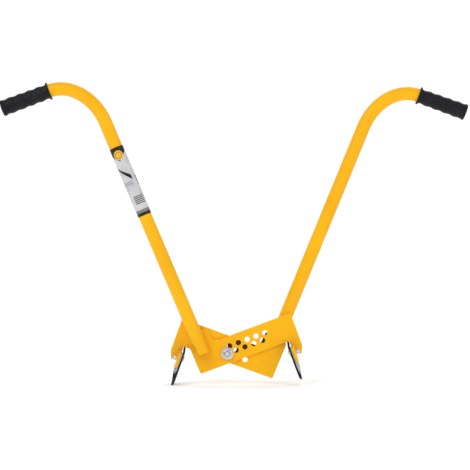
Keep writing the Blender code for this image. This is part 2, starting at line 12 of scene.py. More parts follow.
import bmesh
import bpy
import numpy as np
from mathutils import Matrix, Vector


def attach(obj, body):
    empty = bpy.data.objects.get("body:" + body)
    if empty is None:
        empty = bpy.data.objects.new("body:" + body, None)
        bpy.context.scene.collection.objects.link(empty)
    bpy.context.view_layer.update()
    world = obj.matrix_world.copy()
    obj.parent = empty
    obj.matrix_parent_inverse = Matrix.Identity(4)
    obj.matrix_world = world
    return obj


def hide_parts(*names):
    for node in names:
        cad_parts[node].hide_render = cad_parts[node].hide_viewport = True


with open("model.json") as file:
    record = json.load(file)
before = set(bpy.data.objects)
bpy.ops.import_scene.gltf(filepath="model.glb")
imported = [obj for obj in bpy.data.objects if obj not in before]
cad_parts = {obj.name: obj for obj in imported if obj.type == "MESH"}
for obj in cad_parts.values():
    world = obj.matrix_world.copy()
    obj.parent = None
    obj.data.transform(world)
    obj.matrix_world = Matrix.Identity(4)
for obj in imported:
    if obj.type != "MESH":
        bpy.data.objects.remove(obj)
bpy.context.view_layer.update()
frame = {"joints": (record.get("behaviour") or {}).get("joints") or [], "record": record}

# %% [markdown]
# ## The two arms' own drawings
#
# A fabricator draws one arm and cuts it twice.  So every size here is given in the arm's drawing:
# `s` runs along the bar towards the jaw, `n` runs up from the bar's lower edge and `y` is depth.
# The pivot's place comes from the joint, and each bar's direction from its pad's face, so the
# drawing can never drift away from the frame.

# %% Arm frames from the record
MM = 0.001
PAD_FACE = 181 * MM
MOUNT_N = -50 * MM
HOLE_RADIUS, HOLE_PITCH, FIRST_HOLE, HOLES_PER_ROW = 5.3 * MM, 18.75 * MM, 64 * MM, 5
ROWS = ((0.0, 0.0), (12.5 * MM, 0.5))    # height above the pivot, shift in pitches
PIVOT = np.array(frame["joints"][0]["pos_m"], float)
MOUNTS = {mount["name"]: mount for mount in frame["record"]["mounts"]}


class Arm:
    """One arm: its body, which side its jaw is on, its layer (-1 front, +1 rear), its axes."""

    def __init__(self, body, layer, jaw, handle):
        self.body, self.layer, self.jaw, self.handle = body, layer, jaw, handle
        mount = MOUNTS[jaw + "_pad_face"]
        self.along = -np.array(mount["axis"], float)
        self.up = np.array([-self.along[2], 0.0, self.along[0]]) * np.sign(self.along[0])
        offset = np.array(mount["pos_m"], float) - PIVOT
        self.pivot_s, self.pivot_n = PAD_FACE - offset @ self.along, MOUNT_N - offset @ self.up

    def place(self, s, y, n):
        """World points of drawing coordinates, which may be arrays."""
        s, y, n = np.broadcast_arrays(np.asarray(s, float), y, n)
        return (PIVOT + (s - self.pivot_s)[..., None] * self.along
                + y[..., None] * np.array([0.0, 1.0, 0.0]) + (n - self.pivot_n)[..., None] * self.up)

    def turn(self, ds, dy, dn):
        """A direction of the drawing, in the world."""
        return ds * self.along + dy * np.array([0.0, 1.0, 0.0]) + dn * self.up


FRONT = Arm("front_arm", -1, "right", "left")
REAR = Arm("rear_arm", 1, "left", "right")
for arm in (FRONT, REAR):
    print(arm.body, "pivot at s =", round(arm.pivot_s / MM, 2), "n =", round(arm.pivot_n / MM, 2), "mm")

# %% [markdown]
# ## From arrays to a piece
#
# A surface that is a function of two parameters is a grid of points.  The helper joins the grid
# into quads, welds poles and seams, and, because a closed shell's signed volume is negative when
# its faces point inwards, it can turn them the right way without looking.

# %% Grid surfaces
def grid_faces(rows, columns, wrap_columns=True):
    """Quads between neighbouring grid points; wrapping joins the last column to the first."""
    i = np.arange(rows - 1)[:, None]
    j = np.arange(columns if wrap_columns else columns - 1)[None, :]
    i2, j2 = i + 1, (j + 1) % columns
    quads = np.stack(np.broadcast_arrays(i * columns + j, i * columns + j2,
                                         i2 * columns + j2, i2 * columns + j), axis=-1)
    return quads.reshape(-1, 4)


WELD_DISTANCE = 2e-6


def piece_from(name, points, faces, smooth_angle=40):
    """A mesh object in place: doubles welded, faces turned out, shaded smooth below an angle."""
    mesh = bpy.data.meshes.new(name)
    mesh.from_pydata(points.reshape(-1, 3), [], faces.tolist())
    body = bmesh.new()
    body.from_mesh(mesh)
    bmesh.ops.remove_doubles(body, verts=body.verts, dist=WELD_DISTANCE)
    bmesh.ops.dissolve_degenerate(body, edges=body.edges, dist=WELD_DISTANCE / 4)
    bmesh.ops.recalc_face_normals(body, faces=body.faces)
    if body.calc_volume(signed=True) < 0:
        bmesh.ops.reverse_faces(body, faces=body.faces)
    body.to_mesh(mesh)
    body.free()
    mesh.shade_smooth()
    mesh.set_sharp_from_angle(angle=math.radians(smooth_angle))
    obj = bpy.data.objects.new(name, mesh)
    bpy.context.scene.collection.objects.link(obj)
    return obj


def grid_piece(name, points, smooth_angle=40):
    """A piece from a grid of points, closed round its columns."""
    return piece_from(name, points, grid_faces(points.shape[0], points.shape[1]), smooth_angle)


# %% [markdown]
# ## Turned, swept and flat pieces
#
# Three ways of making a surface cover nearly every part of a fabricated tool: a profile turned
# about an axis, a ring carried along a path, and a flat outline cut from plate.

# %% Turned pieces
def cross_axes(axis):
    """Two unit directions square to an axis."""
    axis = np.asarray(axis, float) / np.linalg.norm(axis)
    helper = np.array([0.0, 0.0, 1.0]) if abs(axis[2]) < 0.9 else np.array([1.0, 0.0, 0.0])
    first = np.cross(helper, axis)
    first /= np.linalg.norm(first)
    return axis, first, np.cross(axis, first)


def turned(name, profile, origin, axis, steps=64):
    """Turn (radius, height) pairs about an axis: point = origin + height axis + radius around."""
    profile = np.asarray(profile, float)
    axis, first, second = cross_axes(axis)
    turn = np.linspace(0, 2 * math.pi, steps, endpoint=False)
    around = np.cos(turn)[:, None] * first + np.sin(turn)[:, None] * second
    points = (np.asarray(origin) + profile[:, 1][:, None, None] * axis
              + profile[:, 0][:, None, None] * around[None])
    return grid_piece(name, points)


def arc(centre_r, centre_h, radius, start, end, steps=6):
    """(radius, height) pairs of an arc, its angles in degrees from the outward direction."""
    turn = np.radians(np.linspace(start, end, steps))
    return list(zip(centre_r + radius * np.cos(turn), centre_h + radius * np.sin(turn)))


# %% Swept pieces
def sweep(name, path, radii, side, steps, squash=1.0):
    """Carry a ring along a path: each ring lies square to the path and has its own radius.

    point = path + radius (cos t side + squash sin t lift), where lift = tangent x side.
    """
    path = np.asarray(path, float)
    radii = np.broadcast_to(np.asarray(radii, float), (len(path),))
    tangent = np.gradient(path, axis=0)
    tangent /= np.linalg.norm(tangent, axis=1)[:, None]
    side = np.broadcast_to(np.asarray(side, float), path.shape)
    side = side - np.sum(side * tangent, axis=1)[:, None] * tangent
    side /= np.linalg.norm(side, axis=1)[:, None]
    lift = np.cross(tangent, side)
    turn = np.linspace(0, 2 * math.pi, steps, endpoint=False)
    cos, sin = np.cos(turn)[None, :, None], squash * np.sin(turn)[None, :, None]
    ring = cos * side[:, None] + sin * lift[:, None]
    return grid_piece(name, path[:, None] + radii[:, None, None] * ring)


def spaced(points, step):
    """The polyline's points again, evenly spaced at about `step`."""
    points = np.asarray(points, float)
    run = np.concatenate([[0], np.cumsum(np.linalg.norm(np.diff(points, axis=0), axis=1))])
    where = np.linspace(0, run[-1], max(3, int(round(run[-1] / step)) + 1))
    return np.stack([np.interp(where, run, points[:, k]) for k in range(points.shape[1])], axis=1)


# %% Flat pieces
def rounded(corners, steps=10):
    """An outline whose corners are (s, n, radius), each corner replaced by an arc."""
    points = []
    for index, (s, n, radius) in enumerate(corners):
        here = np.array([s, n])
        back = np.array(corners[index - 1][:2]) - here
        ahead = np.array(corners[(index + 1) % len(corners)][:2]) - here
        back, ahead = back / np.linalg.norm(back), ahead / np.linalg.norm(ahead)
        half = math.acos(np.clip(back @ ahead, -1, 1)) / 2
        middle = (back + ahead) / np.linalg.norm(back + ahead)
        centre = here + middle * radius / math.sin(half)
        spread = math.pi / 2 - half
        across = np.array([-middle[1], middle[0]])
        across = across if across @ back > 0 else -across
        turn = np.linspace(spread, -spread, steps)
        points.extend(centre - radius * np.cos(turn)[:, None] * middle
                      + radius * np.sin(turn)[:, None] * across)
    return np.array(points)


def circle(s, n, radius, steps=48):
    turn = np.linspace(0, 2 * math.pi, steps, endpoint=False)
    return np.stack([s + radius * np.cos(turn), n + radius * np.sin(turn)], axis=1)


def flat_piece(name, arm, loops, y_from, y_to, ease=0.4 * MM):
    """A flat outline with holes, cut from plate, its edges eased: a filled 2D curve made a mesh."""
    curve = bpy.data.curves.new(name, 'CURVE')
    curve.dimensions, curve.fill_mode = '2D', 'BOTH'
    curve.extrude = (y_to - y_from) / 2 - ease
    curve.bevel_depth, curve.bevel_resolution, curve.offset = ease, 2, -ease
    for loop in loops:
        spline = curve.splines.new('POLY')
        spline.points.add(len(loop) - 1)
        flat = np.column_stack([loop, np.zeros(len(loop)), np.ones(len(loop))])
        spline.points.foreach_set("co", flat.ravel())
        spline.use_cyclic_u = True
    holder = bpy.data.objects.new(name, curve)
    bpy.context.scene.collection.objects.link(holder)
    graph = bpy.context.evaluated_depsgraph_get()
    mesh = bpy.data.meshes.new_from_object(holder.evaluated_get(graph))
    bpy.data.objects.remove(holder)
    flat = np.empty(len(mesh.vertices) * 3)
    mesh.vertices.foreach_get("co", flat)
    flat = flat.reshape(-1, 3)
    points = arm.place(flat[:, 0], (y_from + y_to) / 2 + flat[:, 2], flat[:, 1])
    faces = [list(polygon.vertices) for polygon in mesh.polygons]
    bpy.data.meshes.remove(mesh)
    return piece_from(name, points, np.array(faces, dtype=object), smooth_angle=30)


# %% [markdown]
# ## Finishes
#
# Each finish is a small node tree on Object coordinates, which are metres here, so a noise scale of
# 900 means grain of about a millimetre.  Constant values sit on the shader's own sockets, and only
# what changes over the surface is linked.

# %% Node helpers
def new_finish(name, roughness, metallic=0.0, coat=0.0, specular=0.5):
    """A Principled material; returns the material, its tree, its shader and an Object coordinate."""
    material = bpy.data.materials.new(name)
    material.use_nodes = True
    tree = material.node_tree
    shader = tree.nodes["Principled BSDF"]
    shader.inputs["Roughness"].default_value = roughness
    shader.inputs["Metallic"].default_value = metallic
    shader.inputs["Coat Weight"].default_value = coat
    shader.inputs["Coat Roughness"].default_value = 0.12
    shader.inputs["Specular IOR Level"].default_value = specular
    place = tree.nodes.new("ShaderNodeTexCoord").outputs["Object"]
    return material, tree, shader, place


def noise(tree, place, scale, detail=3.0, stretch=None):
    node = tree.nodes.new("ShaderNodeTexNoise")
    node.inputs["Scale"].default_value = scale
    node.inputs["Detail"].default_value = detail
    if stretch:
        mapping = tree.nodes.new("ShaderNodeMapping")
        mapping.inputs["Scale"].default_value = stretch
        tree.links.new(place, mapping.inputs["Vector"])
        place = mapping.outputs["Vector"]
    tree.links.new(place, node.inputs["Vector"])
    return node.outputs["Fac"]


def ramp(tree, source, stops):
    """A colour ramp from (position, colour) stops."""
    node = tree.nodes.new("ShaderNodeValToRGB")
    while len(node.color_ramp.elements) < len(stops):
        node.color_ramp.elements.new(0.5)
    for element, (position, colour) in zip(node.color_ramp.elements, stops):
        element.position = position
        element.color = (*colour, 1.0)
    tree.links.new(source, node.inputs["Fac"])
    return node.outputs["Color"]


def level(tree, source, low, high):
    """Map a 0 to 1 value onto low to high."""
    node = tree.nodes.new("ShaderNodeMapRange")
    node.inputs["To Min"].default_value = low
    node.inputs["To Max"].default_value = high
    tree.links.new(source, node.inputs["Value"])
    return node.outputs["Result"]


def mix(tree, factor, first, second):
    """Blend two colours, each a socket or a plain colour."""
    node = tree.nodes.new("ShaderNodeMix")
    node.data_type = 'RGBA'
    tree.links.new(factor, node.inputs["Factor"])
    for socket, value in (("A", first), ("B", second)):
        target = [entry for entry in node.inputs if entry.name == socket and entry.type == 'RGBA'][0]
        if isinstance(value, tuple):
            target.default_value = (*value, 1.0)
        else:
            tree.links.new(value, target)
    return [entry for entry in node.outputs if entry.type == 'RGBA'][0]


def calc(tree, operation, first, second=None, third=None):
    """One Math node; an input may be a socket or a number."""
    node = tree.nodes.new("ShaderNodeMath")
    node.operation = operation
    for index, value in enumerate((first, second, third)):
        if value is None:
            continue
        if isinstance(value, (int, float)):
            node.inputs[index].default_value = value
        else:
            tree.links.new(value, node.inputs[index])
    return node.outputs[0]


def plus(tree, first, second):
    return calc(tree, 'ADD', first, second)


def minus(tree, first, second):
    return calc(tree, 'SUBTRACT', first, second)


def times(tree, first, second):
    return calc(tree, 'MULTIPLY', first, second)


def under(tree, first, second):
    """1 where first is less than second."""
    return calc(tree, 'LESS_THAN', first, second)


def over(tree, first, second):
    """1 where first is more than second."""
    return calc(tree, 'GREATER_THAN', first, second)


def between(tree, value, low, high, soft=0.004):
    """About 1 where low < value < high, with a soft edge."""
    rise = tree.nodes.new("ShaderNodeMapRange")
    fall = tree.nodes.new("ShaderNodeMapRange")
    for node, start, end in ((rise, low - soft, low + soft), (fall, high + soft, high - soft)):
        node.inputs["From Min"].default_value = start
        node.inputs["From Max"].default_value = end
        tree.links.new(value, node.inputs["Value"])
    return times(tree, rise.outputs["Result"], fall.outputs["Result"])


def reading(tree, place, direction, offset):
    """A scale along a direction: the coordinate's dot product with it, plus an offset."""
    node = tree.nodes.new("ShaderNodeVectorMath")
    node.operation = 'DOT_PRODUCT'
    node.inputs[1].default_value = tuple(direction)
    tree.links.new(place, node.inputs[0])
    return plus(tree, node.outputs["Value"], float(offset))


def bump(tree, shader, source, strength, distance):
    node = tree.nodes.new("ShaderNodeBump")
    node.inputs["Strength"].default_value = strength
    node.inputs["Distance"].default_value = distance
    tree.links.new(source, node.inputs["Height"])
    tree.links.new(node.outputs["Normal"], shader.inputs["Normal"])


# %% [markdown]
# ### Painted steel, plated steel and bare sheet
#
# Enamel on a garden tool is thick, with a soft sheen, a faint orange-peel skin and a few nicks where
# the metal shows.  Zinc plate is cloudy and fine-grained; the rolled sheet behind the rubber is
# duller and streaked along its length.

# %% Metal finishes
TIP_BLACK = 27 * MM


def make_paint(name, holes_arm=None):
    """Golden enamel; given an arm, it also carries painted shade: brown dots where that arm's holes lie over
    it at rest.

    The dots are only colour.  They stay on the paint when the arms turn.
    """
    material, tree, shader, place = new_finish(name, 0.36, coat=0.06, specular=0.16)
    drift = noise(tree, place, 9.0, 2.0)
    body = ramp(tree, drift, [(0.30, (0.890, 0.430, 0.001)), (0.70, (0.960, 0.490, 0.002))])
    nick = ramp(tree, noise(tree, place, 260.0, 5.0), [(0.735, (0, 0, 0)), (0.755, (1, 1, 1))])
    colour = mix(tree, nick, body, (0.21, 0.12, 0.05))
    # Painted shade: dark brown dots on the rear plate's front face where the other arm's holes lie over it,
    # standing in for the shade inside the holes.
    if holes_arm:
        n = reading(tree, place, holes_arm.up, holes_arm.pivot_n - PIVOT @ holes_arm.up)
        s = reading(tree, place, holes_arm.along, holes_arm.pivot_s - PIVOT @ holes_arm.along)
        skin = under(tree, calc(tree, 'ABSOLUTE', reading(tree, place, (0, 1, 0), 0)), 0.6 * MM)
        hole_shade = 0.0
        for row_n, shift in ROWS:
            start = FIRST_HOLE + HOLE_PITCH * (shift - 0.5)
            ds = calc(tree, 'WRAP', minus(tree, s, start), HOLE_PITCH, 0.0)
            ds = minus(tree, ds, HOLE_PITCH / 2)
            dn = minus(tree, n, holes_arm.pivot_n + row_n)
            reach = plus(tree, times(tree, ds, ds), times(tree, dn, dn))
            dot = under(tree, reach, (HOLE_RADIUS + 0.8 * MM) ** 2)
            in_row = between(tree, s, start, start + HOLES_PER_ROW * HOLE_PITCH, 0.5 * MM)
            hole_shade = plus(tree, times(tree, dot, in_row), hole_shade)
        hole_shade = times(tree, hole_shade, skin)
        colour = mix(tree, hole_shade, colour, (0.085, 0.022, 0.004))
    tree.links.new(colour, shader.inputs["Base Color"])
    tree.links.new(level(tree, noise(tree, place, 45.0, 4.0), 0.27, 0.43), shader.inputs["Roughness"])
    bump(tree, shader, noise(tree, place, 620.0, 2.0), 0.10, 0.0004)
    return material


def make_zinc():
    material, tree, shader, place = new_finish("zinc_plate", 0.30, metallic=1.0)
    cloud = noise(tree, place, 180.0, 4.0)
    colour = ramp(tree, cloud, [(0.30, (0.52, 0.54, 0.57)), (0.55, (0.68, 0.70, 0.72)),
                                (0.75, (0.74, 0.73, 0.68))])
    tree.links.new(colour, shader.inputs["Base Color"])
    tree.links.new(level(tree, noise(tree, place, 900.0, 3.0), 0.20, 0.42), shader.inputs["Roughness"])
    bump(tree, shader, noise(tree, place, 2200.0, 2.0), 0.12, 0.0002)
    return material


def make_sheet():
    """Bare rolled sheet, coloured black below the height TIP_BLACK, like the rubber beside it."""
    material, tree, shader, place = new_finish("rolled_sheet", 0.45, metallic=0.6)
    streak = noise(tree, place, 60.0, 5.0, stretch=(12.0, 12.0, 1.0))
    colour = ramp(tree, streak, [(0.25, (0.36, 0.36, 0.35)), (0.75, (0.56, 0.56, 0.55))])
    tip = between(tree, reading(tree, place, (0, 0, 1), 0), -10 * MM, TIP_BLACK, 5 * MM)
    colour = mix(tree, tip, colour, (0.012, 0.012, 0.011))
    tree.links.new(colour, shader.inputs["Base Color"])
    tree.links.new(level(tree, streak, 0.36, 0.55), shader.inputs["Roughness"])
    bump(tree, shader, noise(tree, place, 800.0, 3.0), 0.10, 0.0003)
    return material


def make_weld():
    """Weld metal under the same enamel: the colour is the paint's, the skin is rougher."""
    material, tree, shader, place = new_finish("enamel_on_weld", 0.42, coat=0.10, specular=0.30)
    drift = noise(tree, place, 120.0, 3.0)
    colour = ramp(tree, drift, [(0.25, (0.80, 0.36, 0.004)), (0.75, (0.92, 0.46, 0.01))])
    tree.links.new(colour, shader.inputs["Base Color"])
    tree.links.new(level(tree, drift, 0.32, 0.52), shader.inputs["Roughness"])
    bump(tree, shader, noise(tree, place, 700.0, 4.0), 0.25, 0.0005)
    return material


# %% [markdown]
# ### Rubber, vinyl and nylon
#
# Black is never quite black: rubber carries a grey bloom and a fine grain, moulded vinyl has a
# soft sheen with a leathery stipple, and nylon is creamy.

# %% Plastic and rubber finishes
def make_rubber():
    material, tree, shader, place = new_finish("pad_rubber", 0.72, specular=0.15)
    bloom = noise(tree, place, 40.0, 5.0)
    colour = ramp(tree, bloom, [(0.35, (0.008, 0.008, 0.008)), (0.80, (0.030, 0.029, 0.027))])
    tree.links.new(colour, shader.inputs["Base Color"])
    tree.links.new(level(tree, bloom, 0.60, 0.85), shader.inputs["Roughness"])
    bump(tree, shader, noise(tree, place, 1500.0, 3.0), 0.35, 0.0004)
    return material


def make_vinyl():
    material, tree, shader, place = new_finish("grip_vinyl", 0.42, specular=0.18)
    cloud = noise(tree, place, 70.0, 3.0)
    colour = ramp(tree, cloud, [(0.30, (0.005, 0.005, 0.007)), (0.75, (0.012, 0.012, 0.016))])
    tree.links.new(colour, shader.inputs["Base Color"])
    tree.links.new(level(tree, noise(tree, place, 240.0, 3.0), 0.34, 0.52), shader.inputs["Roughness"])
    bump(tree, shader, noise(tree, place, 1300.0, 2.0), 0.30, 0.0004)
    return material


def make_nylon():
    material, tree, shader, place = new_finish("lock_ring_nylon", 0.45)
    cloud = noise(tree, place, 300.0, 3.0)
    colour = ramp(tree, cloud, [(0.30, (0.55, 0.54, 0.47)), (0.75, (0.68, 0.67, 0.60))])
    tree.links.new(colour, shader.inputs["Base Color"])
    bump(tree, shader, noise(tree, place, 1800.0, 2.0), 0.15, 0.0003)
    return material


# The rear plate's enamel carries the painted shade in the holes.
HOLE_SHADE_PAINT = make_paint("enamel_with_hole_shade", FRONT)
PAINT, ZINC, SHEET, WELD = make_paint("golden_enamel"), make_zinc(), make_sheet(), make_weld()
RUBBER, VINYL, NYLON = make_rubber(), make_vinyl(), make_nylon()
print("finishes:", [material.name for material in (PAINT, ZINC, SHEET, WELD, RUBBER, VINYL, NYLON)])


def dress(obj, finish, body, *nodes, slot=None):
    """Give a piece its finish, the body it rides on and the nodes it stands for; slot is not used."""
    obj.data.materials.clear()
    obj.data.materials.append(finish)
    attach(obj, body)
    if nodes:
        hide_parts(*nodes)
    print("  ", obj.name, len(obj.data.polygons), "faces")
    return obj


# %% [markdown]
# ## Arm plates
#
# Each arm is a flat bar, laser-cut in one piece with its ten adjusting holes, a heel that runs up
# under the handle tube and a finger for the jaw.  A filled curve keeps the holes true, and a small
# round along every edge catches the light as thick paint does.

# %% Plate drawing
PLATE = 5 * MM
GAP = 0.3 * MM
BAR_HEIGHT, BAR_LENGTH = 51.5 * MM, 209.8 * MM
HEEL_WIDTH, HEEL_HEIGHT = 47 * MM, 83 * MM
FINGER_DROP, FINGER_INNER = 31 * MM, 192.9 * MM
FINGER_ROOT, FINGER_STEP = 188.3 * MM, 12.3 * MM
TUBE_LEAN = math.radians(2.55)
HEEL_LEAN = HEEL_HEIGHT * math.tan(TUBE_LEAN)
PLATE_CORNERS = [
    (0, 0, 3 * MM), (FINGER_ROOT, 0, 0.5 * MM), (FINGER_ROOT, -FINGER_STEP, 0.5 * MM),
    (FINGER_INNER, -FINGER_STEP, 0.5 * MM), (FINGER_INNER, 4 * MM - FINGER_DROP, 2 * MM),
    (FINGER_INNER + 3 * MM, -FINGER_DROP, 1 * MM), (BAR_LENGTH - 6 * MM, -FINGER_DROP, 3 * MM),
    (BAR_LENGTH, -FINGER_DROP / 2, 12 * MM), (BAR_LENGTH, BAR_HEIGHT, 1.5 * MM),
    (HEEL_WIDTH, BAR_HEIGHT, 9 * MM), (HEEL_WIDTH - HEEL_LEAN, HEEL_HEIGHT, 4 * MM),
    (-HEEL_LEAN, HEEL_HEIGHT, 14 * MM)]


def make_plate(arm):
    name = arm.body + "_plate"
    loops = [rounded(PLATE_CORNERS)]
    for row_n, shift in ROWS:
        loops += [circle(FIRST_HOLE + HOLE_PITCH * (k + shift), arm.pivot_n + row_n, HOLE_RADIUS)
                  for k in range(HOLES_PER_ROW)]
    near, far = sorted((arm.layer * GAP / 2, arm.layer * (GAP / 2 + PLATE)))
    # The rear plate gets the enamel with painted shade inside the front arm's holes.
    finish = HOLE_SHADE_PAINT if arm is REAR else PAINT
    return dress(flat_piece(name + "_cut", arm, loops, near, far), finish, arm.body, name)


for arm in (FRONT, REAR):
    make_plate(arm)

# %% [markdown]
# ## Handle tubes
#
# The handle is a length of pipe, bent once and flattened nowhere.  A ring carried along a path made
# of a straight run, a quarter of an ellipse and a level end gives it in one surface; the foot closes
# in a low dome where the fabricator has capped and ground it.

# %% Tubes
TUBE_RADIUS = 13.45 * MM
TUBE_DEPTH = PLATE + 1.5 * GAP + TUBE_RADIUS
FOOT_S, FOOT_N = 20 * MM, 40 * MM
BEND_RISE, GRIP_HEIGHT, GRIP_S = 105 * MM, 632 * MM, -84 * MM
TUBE_IN_GRIP = 60 * MM
FOOT_DOME = 5 * MM


def axis_at(n):
    """s of the tube's axis at height n on the straight run."""
    return FOOT_S - (n - FOOT_N) * math.tan(TUBE_LEAN)


def handle_path():
    """The tube's axis in (s, n): a straight run, a quarter of an ellipse and a level end."""
    bend_n = GRIP_HEIGHT - BEND_RISE
    turn = np.linspace(0, math.pi / 2, 28)
    reach = axis_at(bend_n) - GRIP_S
    bend = np.stack([GRIP_S + reach * np.cos(turn), bend_n + BEND_RISE * np.sin(turn)], axis=1)
    return np.vstack([[FOOT_S, FOOT_N], bend, [GRIP_S - TUBE_IN_GRIP, GRIP_HEIGHT]])


PATH = handle_path()


def make_tube(arm):
    """The ring's radius is full along the path and falls to nothing over the foot's dome."""
    path = spaced(PATH, 6 * MM)
    turn = np.linspace(math.pi / 2, 0, 10)
    down = np.array([math.sin(TUBE_LEAN), -math.cos(TUBE_LEAN)])
    foot = path[0] + (1 * MM + FOOT_DOME * np.sin(turn))[:, None] * down
    path = np.vstack([foot, path, path[-1:] + [[-1e-5, 0]]])
    straight = np.full(len(path) - len(foot) - 1, TUBE_RADIUS)
    radii = np.concatenate([TUBE_RADIUS * np.cos(turn), straight, [0]])
    world = arm.place(path[:, 0], arm.layer * TUBE_DEPTH, path[:, 1])
    obj = sweep(arm.handle + "_tube", world, radii, side=(0, 1, 0), steps=56)
    return dress(obj, PAINT, arm.body, arm.handle + "_handle_tube", arm.handle + "_tube_plug")


for arm in (FRONT, REAR):
    make_tube(arm)

# %% [markdown]
# ## Welds
#
# A hand weld is a row of overlapping puddles.  Carrying a ring along the seam while its radius
# swells and shrinks gives the ripple, and squashing the ring flat against the plate keeps it a
# bead instead of a rope.

# %% Weld beads
def weld_bead(name, arm, corners, size, side, squash=0.8, puddle=2.4 * MM):
    """radius = size (0.86 + 0.14 |sin(pi run / puddle)|), closing to nothing at both ends."""
    path = spaced(corners, 0.5 * MM)
    run = np.linspace(0, np.linalg.norm(np.diff(path, axis=0), axis=1).sum(), len(path))
    ripple = 0.86 + 0.14 * np.abs(np.sin(math.pi * run / puddle))
    ends = np.clip(np.minimum(run, run[-1] - run) / (size * 1.2), 0, 1)
    radii = size * ripple * np.sqrt(1 - (1 - ends) ** 2)
    world = arm.place(path[:, 0], path[:, 1], path[:, 2])
    return dress(sweep(name, world, radii, side, steps=14, squash=squash), WELD, arm.body)


def handle_weld(arm):
    """A U-shaped bead: down one side of the tube, round its foot and up the other side."""
    y = arm.layer * (GAP / 2 + PLATE + 1.6 * MM)
    reach = 9.0 * MM
    turn = np.linspace(0, -math.pi, 15)
    around = [(FOOT_S + reach * math.cos(t), y, FOOT_N - 1 * MM + 8 * MM * math.sin(t)) for t in turn]
    top = HEEL_HEIGHT - 5 * MM
    left, right = (axis_at(top) + reach, y, top), (axis_at(top) - reach, y, top)
    return weld_bead(arm.handle + "_tube_weld", arm, [left, *around, right], 3.0 * MM, (0, 1, 0))


for arm in (FRONT, REAR):
    handle_weld(arm)

# %% [markdown]
# ## Grips
#
# The grip is a vinyl sleeve pushed over the pipe: a thin flange at its mouth, a body with shallow
# waves for the fingers, and a closed end with a soft rim.  It is a turned surface with fine ribs
# that run along the body and fade at both of its ends, so the radius depends on both parameters.

# %% Grips
GRIP_LENGTH, GRIP_RADIUS, GRIP_FLARE = 101 * MM, 15.2 * MM, 1.2 * MM
FLANGE_RADIUS, FLANGE_THICK = 17.8 * MM, 3.6 * MM
WAVE, WAVE_LENGTH = 0.75 * MM, 20 * MM
RIB_HEIGHT, RIB_COUNT, RIBS_FROM, RIBS_TO, RIB_FADE = 0.16 * MM, 24, 8 * MM, 94 * MM, 4 * MM


def grip_profile():
    """Outer side from mouth to end: flange, neck, waved body, rim and flat end."""
    end_radius, rim = GRIP_RADIUS + GRIP_FLARE, 2.4 * MM
    bore = TUBE_RADIUS + GAP
    profile = [(bore, 12 * MM), (bore, 0.6 * MM)] + arc(bore + 0.6 * MM, 0.6 * MM, 0.6 * MM, 180, 270, 4)
    profile += arc(FLANGE_RADIUS - 0.9 * MM, 0.9 * MM, 0.9 * MM, -90, 0)
    profile += arc(FLANGE_RADIUS - 0.9 * MM, FLANGE_THICK - 0.9 * MM, 0.9 * MM, 0, 90)
    height = np.linspace(FLANGE_THICK + 1.2 * MM, GRIP_LENGTH - rim, 90)
    wave = WAVE * (np.cos(2 * math.pi * height / WAVE_LENGTH) - 1)
    wave *= np.clip((GRIP_LENGTH - height) / (10 * MM), 0, 1)
    profile += list(zip(GRIP_RADIUS + GRIP_FLARE * height / GRIP_LENGTH + wave, height))
    profile += arc(end_radius - rim, GRIP_LENGTH - rim, rim, 0, 90, 8)
    profile += [(end_radius - 5 * MM, GRIP_LENGTH), (end_radius - 5.6 * MM, GRIP_LENGTH - 0.5 * MM),
                (0, GRIP_LENGTH - 0.5 * MM)]
    return profile


def make_grip(arm):
    profile = np.array(grip_profile())
    origin = arm.place(GRIP_S, arm.layer * TUBE_DEPTH, GRIP_HEIGHT)
    axis, first, second = cross_axes(arm.turn(-1, 0, 0))
    turn = np.linspace(0, 2 * math.pi, 96, endpoint=False)
    ribs = RIB_HEIGHT * np.cos(RIB_COUNT * turn)
    height = profile[:, 1]
    body = np.clip((height - RIBS_FROM) / RIB_FADE, 0, 1) * np.clip((RIBS_TO - height) / RIB_FADE, 0, 1)
    radius = profile[:, 0][:, None] + body[:, None] * ribs[None]
    around = np.cos(turn)[:, None] * first + np.sin(turn)[:, None] * second
    points = origin + height[:, None, None] * axis + radius[..., None] * around[None]
    mouth = np.broadcast_to(points[:1].mean(axis=1, keepdims=True), points[:1].shape)
    closed = np.concatenate([mouth, points])
    return dress(grid_piece(arm.handle + "_grip_sleeve", closed), VINYL, arm.body, arm.handle + "_grip")


for arm in (FRONT, REAR):
    make_grip(arm)

# %% [markdown]
# ## Fasteners
#
# A hexagon nut's faces are flat but its corners are turned off by a cone.  Both are one radius
# rule: at each angle the radius is the hexagon's, at each height it may not pass the cone's, and
# the smaller of the two wins.  A fine grid then shows the curved line where they meet.

